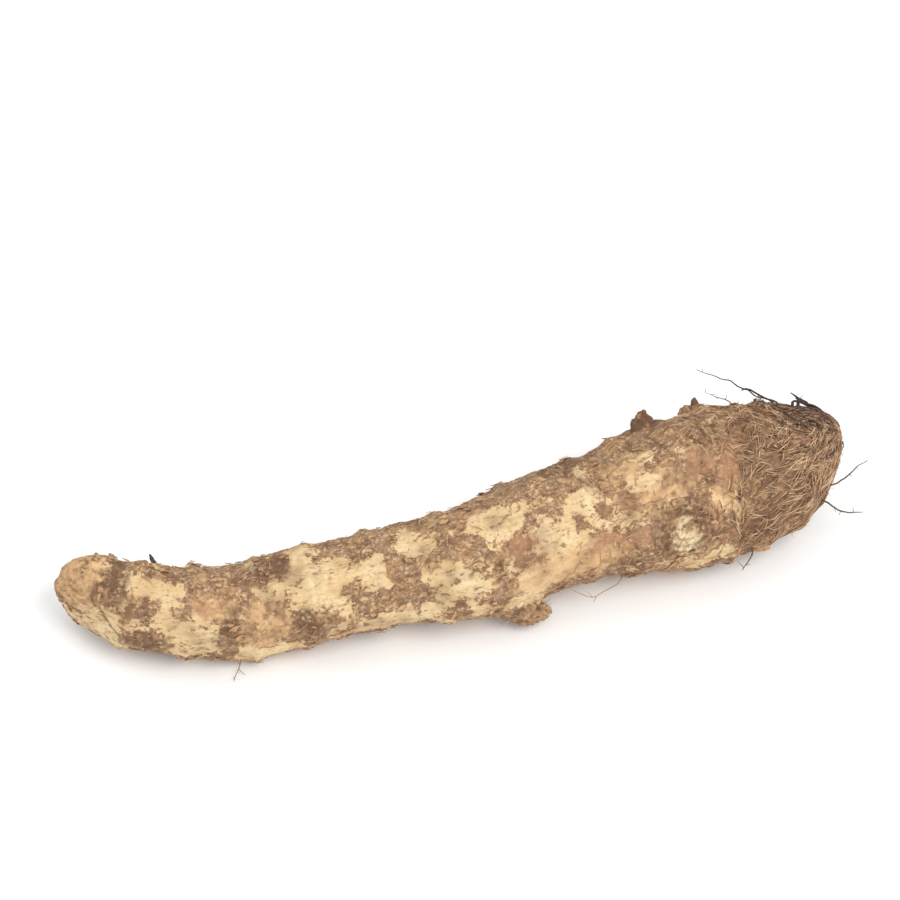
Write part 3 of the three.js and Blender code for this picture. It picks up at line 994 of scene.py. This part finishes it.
def laid_strands(draw, count, kind):
    """Fibres laid over the skin, most of them towards the crown's tip and matted near it."""
    strands = []
    for _ in range(count):
        x = kind.low + (kind.high - kind.low) * draw.random() ** kind.gather
        angle = math.radians(draw.gauss(kind.facing, kind.spread))
        drawn = Vector((x, NOISE_RADIUS * math.cos(angle), NOISE_RADIUS * math.sin(angle)))
        if noise.noise(drawn / GAP[1]) > GAP[0]:
            continue
        heading = SWEEP[0] * noise.noise(drawn.zyx / SWEEP[1]) + draw.gauss(0, OWN_TURN)
        heading -= WHORL * math.sin(angle - math.radians(WHORL_LINE))
        heading += math.pi if draw.random() < REVERSED else 0
        long = draw.uniform(kind.shortest, kind.longest)
        top = draw.uniform(*LIFTS) * kind.rise
        free = top + (draw.uniform(*SPRINGS) if draw.random() < SPRUNG else 0)
        heights = [-SINK, SHOULDER * top, top, top, free]
        rows = laid_path(draw, x, angle, heading, long, heights, WANDER)
        halves = tapered(kind.half * draw.uniform(*GAUGES), len(rows))
        strands.append((on_skin(rows), halves, draw.uniform(kind.dark, kind.pale)))
    return strands


class TARO_OT_crown(bpy.types.Operator):
    """Adds the crown's dry leaf-sheath fibres and stray fibres along the root"""

    bl_idname = "taro.crown"
    bl_label = "Crown fibres"

    def execute(self, context):
        sizes = context.scene.taro_sizes
        draw = random.Random(SEEDS["fibres"])
        for name, kinds in (("crown_fibres", CROWN_FIBRES), ("stray_fibres", STRAY_FIBRES)):
            strands = []
            for kind in kinds:
                strands += laid_strands(draw, round(kind.count * sizes.fibres / WHOLE), kind)
            strand_piece(name, strands)
        return {"FINISHED"}


ROOTLET_STEPS = 6  # points for each listed place after the first
ROOTLET_LOSS = 0.7  # the share of its width that it loses towards its tip
KINKS = (0.35, 4)  # how far it is kinked, and over what length
HAIRS = 4  # on each rootlet
HAIR_LENGTHS = (1.5, 4)
HAIR_HALF = 0.13
HAIR_POINTS = (0, 0.35, 0.7, 1)  # shares of its length


class TARO_OT_rootlets(bpy.types.Operator):
    """Adds the wiry rootlets with their side hairs"""

    bl_idname = "taro.rootlets"
    bl_label = "Rootlets"

    def execute(self, context):
        half = context.scene.taro_sizes.rootlet / MM / 2
        draw = random.Random(SEEDS["rootlets"])
        strands = []
        for rootlet in ROOTLETS:
            places = [(x, math.radians(degrees), over) for x, degrees, over in rootlet.places]
            count = ROOTLET_STEPS * (len(places) - 1)
            line = on_skin(smooth_line(places, np.linspace(0, 1, count)))
            kinks = [mottle(line, KINKS[1], 2, start) for start in (1.0, 2.0, 3.0)]
            line += KINKS[0] * np.column_stack(kinks)
            halves = tapered(half * rootlet.thick, count, ROOTLET_LOSS)
            strands.append((line, halves, rootlet.tone))
            for _ in range(HAIRS):
                foot = line[draw.randrange(count // 3, count)]
                way = np.array(Vector([draw.gauss(0, 1) for _ in range(3)]).normalized())
                long = draw.uniform(*HAIR_LENGTHS)
                hair = np.array([foot + way * long * part for part in HAIR_POINTS])
                strands.append((hair, tapered(HAIR_HALF, len(hair)), rootlet.tone))
        strand_piece("rootlets", strands)
        return {"FINISHED"}


SCALE_TRIES = 6  # places tried for each scale
SCALE_REACH = (-144, 134)  # the stretch of the root that has scales
SCALE_EDGE = (-3.0, -0.3)  # how far from bare flesh they stand, bark being negative
SCALE_LIFT = 0.45  # off the skin
SCALE_FLOOR = 4  # none is nearer the floor
SCALE_CORNERS = 8
SCALE_HALVES = (0.5, 1.4)  # half widths
SCALE_STRETCH = 1.7  # along the root
SCALE_TURN = 0.5  # spread in radians
SCALE_TILT = 0.3  # most, in radians
SCALE_RAGGED = (0.45, 1.35)  # how far its corners stand out
SCALE_BARE = -1.0  # all bark, so far from bare flesh
SCALE_WARM = Cloud(9, 2, 3.0, -0.1, 0.3)
SCALE_RED = Cloud(9, 2, 3.0, 0.0, -0.3)
SCALE_WARMTH = 0.6


class TARO_OT_scales(bpy.types.Operator):
    """Adds papery scales of bark that lift off the skin, most of them along torn edges"""

    bl_idname = "taro.scales"
    bl_label = "Bark scales"

    def execute(self, context):
        sizes = context.scene.taro_sizes
        draw = random.Random(SEEDS["scales"])
        tries = SCALE_TRIES * sizes.scales
        x = np.array([draw.uniform(*SCALE_REACH) for _ in range(tries)])
        angle = np.array([draw.uniform(-math.pi, math.pi) for _ in range(tries)])
        share = share_at(x)
        x, radius, grain = measured(share, angle)
        bare = bareness(x, angle, radius, grain)
        low, high = SCALE_EDGE
        chosen = np.flatnonzero((bare > low) & (bare < high))[: sizes.scales]
        _, forward, side, up, _ = section(share)
        feet = skin(share, angle, SCALE_LIFT)
        outward = up * np.cos(angle)[:, None] + side * np.sin(angle)[:, None]

        bm = bmesh.new()
        for i in chosen:
            if feet[i, 2] < SCALE_FLOOR:
                continue
            half = draw.uniform(*SCALE_HALVES)
            made = bmesh.ops.create_circle(
                bm, cap_ends=True, cap_tris=True, segments=SCALE_CORNERS, radius=1
            )
            turned = Matrix.Rotation(draw.gauss(0, SCALE_TURN), 3, "Z")
            turned = turned @ Matrix.Diagonal((SCALE_STRETCH, 1, 1))
            tilt = Matrix.Rotation(draw.uniform(0, SCALE_TILT), 3, "Y")
            axes = (forward[i], np.cross(outward[i], forward[i]), outward[i])
            axes = Matrix(axes).transposed()
            for vertex in made["verts"]:
                ragged = draw.uniform(*SCALE_RAGGED)
                vertex.co = axes @ (turned @ (tilt @ (vertex.co * half * ragged)))
                vertex.co = Vector(metres(feet[i] + np.array(vertex.co)))
        bmesh.ops.recalc_face_normals(bm, faces=bm.faces)
        bmesh.ops.solidify(bm, geom=bm.faces[:], thickness=sizes.scale)
        mesh = mesh_from(bm, "bark_scales")
        grain = vertex_rows(mesh) / MM
        warm = SCALE_WARMTH * clouded(grain, SCALE_WARM)
        red = REDNESS * clouded(grain, SCALE_RED)
        paint(mesh, grain, bare=SCALE_BARE, warm=warm, red=red)
        new_piece("bark_scales", mesh, corky_taro_bark)
        return {"FINISHED"}


# The stage

CAMERA_TARGET = Vector((8.7, 60.22, 0.0)) * MM  # on the floor
CAMERA_DISTANCE = 0.95
CAMERA_AZIMUTH = -14  # degrees, 0 looks along +Y
CAMERA_ELEVATION = 50
SENSOR = 36  # millimetres wide

# Softboxes: where they stand and how wide they are, in metres.
Softbox = namedtuple("Softbox", "name place size")
KEY = Softbox("key_softbox", (0.5, -0.6, 1.1), 0.9)
FILL = Softbox("fill_softbox", (-0.8, 0.5, 1.2), 1.4)


class TARO_OT_stage(bpy.types.Operator):
    """Adds the floor, the soft studio lights and the camera"""

    bl_idname = "taro.stage"
    bl_label = "Studio"

    def execute(self, context):
        stage = context.scene.taro_stage
        bm = bmesh.new()
        bmesh.ops.create_grid(bm, x_segments=1, y_segments=1, size=stage.floor)
        mesh = mesh_from(bm, "studio_floor")
        mesh.materials.append(material_of(studio_paper))
        floor = bpy.data.objects.new("studio_floor", mesh)
        context.scene.collection.objects.link(floor)

        world = bpy.data.worlds.new("studio_air")
        world.use_nodes = True
        sky = world.node_tree.nodes["Background"]
        sky.inputs["Color"].default_value = (1, 1, 1, 1)
        sky.inputs["Strength"].default_value = stage.air
        context.scene.world = world

        self.add_light(context, KEY, stage.key)
        self.add_light(context, FILL, stage.fill)
        self.add_camera(context)
        context.scene.view_settings.view_transform = "Standard"
        return {"FINISHED"}

    def add_light(self, context, softbox, power):
        lamp = bpy.data.lights.new(softbox.name, "AREA")
        lamp.shape = "DISK"
        lamp.size = softbox.size
        lamp.energy = power
        light = bpy.data.objects.new(softbox.name, lamp)
        light.location = softbox.place
        light.rotation_euler = Vector(softbox.place).to_track_quat("Z", "Y").to_euler()
        context.scene.collection.objects.link(light)

    def add_camera(self, context):
        turn, rise = math.radians(CAMERA_AZIMUTH), math.radians(CAMERA_ELEVATION)
        level = math.cos(rise)
        back = Vector((math.sin(turn) * level, -math.cos(turn) * level, math.sin(rise)))
        lens = bpy.data.cameras.new("camera")
        lens.sensor_fit = "HORIZONTAL"
        lens.sensor_width = SENSOR
        lens.lens = context.scene.taro_stage.lens
        camera = bpy.data.objects.new("camera", lens)
        camera.location = CAMERA_TARGET + back * CAMERA_DISTANCE
        camera.rotation_euler = back.to_track_quat("Z", "Y").to_euler()
        context.scene.collection.objects.link(camera)
        context.scene.camera = camera


# What a user can change

def colour_choice(name, code, description):
    """A colour that a user can change, given as sRGB hex."""
    default = linear(code)
    return FloatVectorProperty(
        name=name, description=description, subtype="COLOR", size=3, min=0, max=1, default=default
    )


def length_choice(name, millimetres, description):
    """A length that a user can change."""
    default = millimetres * MM
    return FloatProperty(
        name=name, description=description, unit="LENGTH", min=0, precision=5, default=default
    )


class TaroSizes(bpy.types.PropertyGroup):
    """How fine, thick and many the root's details are"""

    sides: IntProperty(name="Sides", description="Faces around the skin", default=240, min=24)
    rows: IntProperty(name="Rows", description="Faces along the skin", default=400, min=40)
    bark: length_choice("Bark", 0.45, "Thickness of the corky bark")
    pits: IntProperty(name="Pits", description="Small holes that rootlets left", default=80, min=0)
    fibres: FloatProperty(
        name="Fibres", description="Share of the fibres", subtype="PERCENTAGE", min=0, default=WHOLE
    )
    rootlet: length_choice("Rootlet", 1.1, "Thickness of a rootlet at its foot")
    scales: IntProperty(name="Scales", description="Papery scales of bark", default=420, min=0)
    scale: length_choice("Scale", 0.14, "Thickness of a scale of bark")


class TaroLook(bpy.types.PropertyGroup):
    """The colours of the root and the paper"""

    flesh_light: colour_choice("Light flesh", "#E1CA9F", "Flesh where the bark has peeled off")
    flesh_deep: colour_choice("Deep flesh", "#D4B484", "Yellower clouds in the flesh")
    flesh_stain: colour_choice("Stained flesh", "#BE9868", "Stains on the flesh")
    bark_mid: colour_choice("Bark", "#AD8863", "Corky bark")
    bark_dark: colour_choice("Dark bark", "#8C6B4F", "Darker clouds in the bark")
    bark_grey: colour_choice("Grey bark", "#9C8269", "Weathered clouds in the bark")
    bark_speck: colour_choice("Bark speck", "#CFAE87", "Pale scurf on the bark")
    thin_bark: colour_choice("Thin bark", "#B08463", "Bark at its torn edges")
    # This colour is also laid in the hollows of the fine relief, and as painted shade beneath the
    # dark bud and along the far top edge.
    soil: colour_choice("Soil", "#6C503C", "Soil in hollows and cracks")
    warm: colour_choice("Warm skin", "#DAB182", "Thin orange-tan skin")
    red: colour_choice("Red scales", "#AF8262", "Smooth reddish scales")
    fibre_dark: colour_choice("Dark coat", "#5E4030", "The crown's coat between its fibres")
    fibre_pale: colour_choice("Pale coat", "#B8926E", "The crown's coat on its fibres")
    granule: colour_choice("Scar", "#E4CFA8", "The scar's granular middle")
    strand_dark: colour_choice("Dark strands", "#453934", "Rootlets and weathered fibres")
    strand_brown: colour_choice("Brown strands", "#9A7558", "Most of the crown's fibres")
    strand_pale: colour_choice("Pale strands", "#DCBC96", "The crown's driest fibres")
    paper: colour_choice("Paper", "#F8F8F8", "Studio paper")


class TaroStage(bpy.types.PropertyGroup):
    """The floor, the lights and the lens"""

    floor: FloatProperty(name="Floor", description="Its half width", unit="LENGTH", default=4)
    air: FloatProperty(name="Air", description="Strength of the light from all round", default=0.9)
    key: FloatProperty(name="Key", description="Power of its softbox", unit="POWER", default=9)
    fill: FloatProperty(name="Fill", description="Power of its softbox", unit="POWER", default=3)
    lens: FloatProperty(name="Lens", description="Focal length", unit="CAMERA", default=95)


class TARO_PT_panel(bpy.types.Panel):
    """The steps that build the root, in order, and what they go by"""

    bl_idname = "TARO_PT_panel"
    bl_label = "Taro root"
    bl_space_type = "VIEW_3D"
    bl_region_type = "UI"
    bl_category = "Taro"

    def draw(self, context):
        for step in STEPS:
            self.layout.operator(step.bl_idname)
        for name, kind in GROUPS.items():
            for setting in kind.__annotations__:
                self.layout.prop(getattr(context.scene, name), setting)


STEPS = (
    TARO_OT_skin,
    TARO_OT_lumps,
    TARO_OT_crown,
    TARO_OT_rootlets,
    TARO_OT_scales,
    TARO_OT_stage,
)
GROUPS = {"taro_sizes": TaroSizes, "taro_look": TaroLook, "taro_stage": TaroStage}


def register():
    for kind in (*GROUPS.values(), *STEPS, TARO_PT_panel):
        bpy.utils.register_class(kind)
    for name, kind in GROUPS.items():
        setattr(bpy.types.Scene, name, PointerProperty(type=kind))


def unregister():
    for name in GROUPS:
        delattr(bpy.types.Scene, name)
    for kind in (TARO_PT_panel, *STEPS, *GROUPS.values()):
        bpy.utils.unregister_class(kind)


def main():
    register()
    bpy.ops.taro.skin()
    bpy.ops.taro.lumps()
    bpy.ops.taro.crown()
    bpy.ops.taro.rootlets()
    bpy.ops.taro.scales()
    bpy.ops.taro.stage()


if __name__ == "__main__":
    main()
